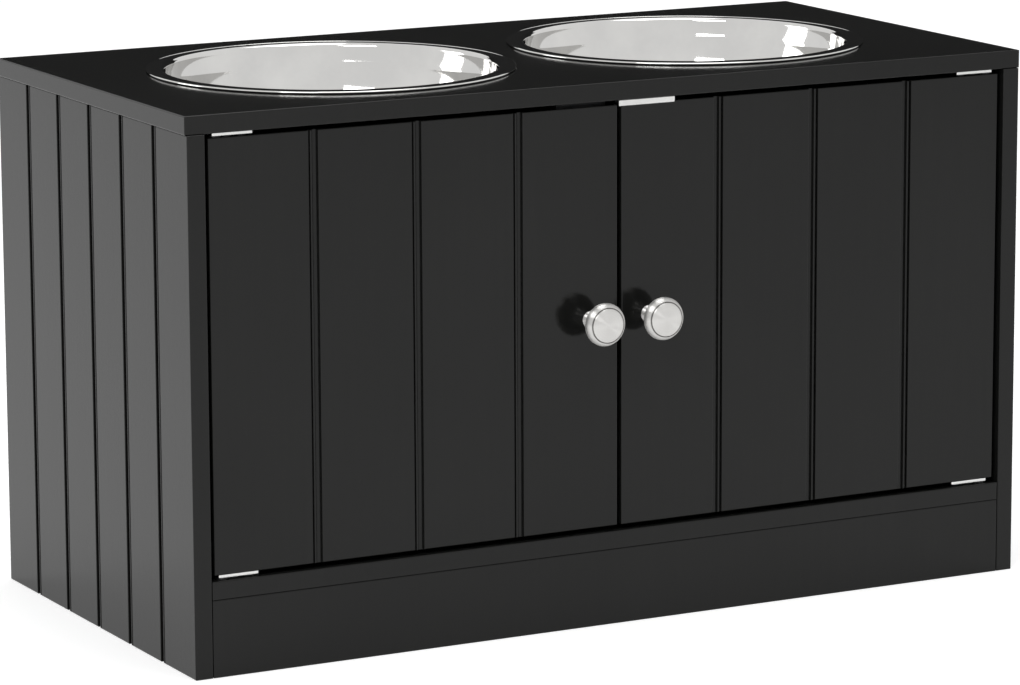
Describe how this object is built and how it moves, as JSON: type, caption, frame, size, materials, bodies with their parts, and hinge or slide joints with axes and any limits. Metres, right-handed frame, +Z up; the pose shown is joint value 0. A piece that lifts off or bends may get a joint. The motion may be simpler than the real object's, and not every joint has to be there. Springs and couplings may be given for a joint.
{
  "type": "elevated pet feeder cabinet",
  "caption": "Raised pet feeder: low black cabinet with lift-out polished steel bowls in its top and a storage space behind hinged, grooved doors with round knobs.",
  "frame": {"origin": "centre of the footprint of the whole object, knobs included, on the surface it stands on", "axes": "+X to the right as seen by someone facing the doors, -Y out of the doors, +Z up"},
  "size_m": [0.61, 0.3264, 0.3577],
  "materials": {
    "black_board": "satin",
    "hardboard": "matte",
    "dowel_wood": "matte",
    "case_plastic": "matte",
    "magnet": "matte",
    "bowl_steel": "polished",
    "knob_steel": "satin",
    "zinc_fittings": "satin",
    "hinge_steel": "satin"
  },
  "bodies": {
    "case": {"top_panel": "black_board", "left_side_panel": "black_board", "right_side_panel": "black_board", "floor_panel": "black_board", "back_panel": "hardboard", "front_plinth": "black_board", "rear_plinth": "black_board", "cams": "zinc_fittings", "cam_bolts": "zinc_fittings", "dowels": "dowel_wood", "back_panel_screws": "zinc_fittings", "left_upper_frame_leaf": "hinge_steel", "right_upper_frame_leaf": "hinge_steel", "left_lower_frame_leaf": "hinge_steel", "right_lower_frame_leaf": "hinge_steel", "left_upper_pin": "zinc_fittings", "right_upper_pin": "zinc_fittings", "left_lower_pin": "zinc_fittings", "right_lower_pin": "zinc_fittings", "hinge_washers": "case_plastic", "frame_leaf_screws": "zinc_fittings", "left_magnet_case": "case_plastic", "right_magnet_case": "case_plastic", "left_magnet": "magnet", "right_magnet": "magnet"},
    "left_door": {"left_door_panel": "black_board", "left_knob": "knob_steel", "left_knob_screw": "zinc_fittings", "left_upper_door_leaf": "hinge_steel", "left_lower_door_leaf": "hinge_steel", "left_door_leaf_screws": "zinc_fittings", "left_strike_plate": "hinge_steel", "left_strike_screws": "zinc_fittings"},
    "right_door": {"right_door_panel": "black_board", "right_knob": "knob_steel", "right_knob_screw": "zinc_fittings", "right_upper_door_leaf": "hinge_steel", "right_lower_door_leaf": "hinge_steel", "right_door_leaf_screws": "zinc_fittings", "right_strike_bar": "hinge_steel", "right_strike_screws": "zinc_fittings"},
    "left_bowl_body": {"left_bowl": "bowl_steel"},
    "right_bowl_body": {"right_bowl": "bowl_steel"}
  },
  "joints": [
    {"name": "left_door_hinge", "type": "hinge", "parent": "case", "child": "left_door", "pos_m": [-0.282, -0.1322, 0.203], "axis": [0, 0, -1], "range_deg": [0, 105]},
    {"name": "right_door_hinge", "type": "hinge", "parent": "case", "child": "right_door", "pos_m": [0.282, -0.1322, 0.203], "axis": [0, 0, 1], "range_deg": [0, 105]},
    {"name": "left_bowl_lift", "type": "slide", "parent": "case", "child": "left_bowl_body", "axis": [0, 0, 1], "range_m": [0, 0.09]},
    {"name": "right_bowl_lift", "type": "slide", "parent": "case", "child": "right_bowl_body", "axis": [0, 0, 1], "range_m": [0, 0.09]}
  ]
}
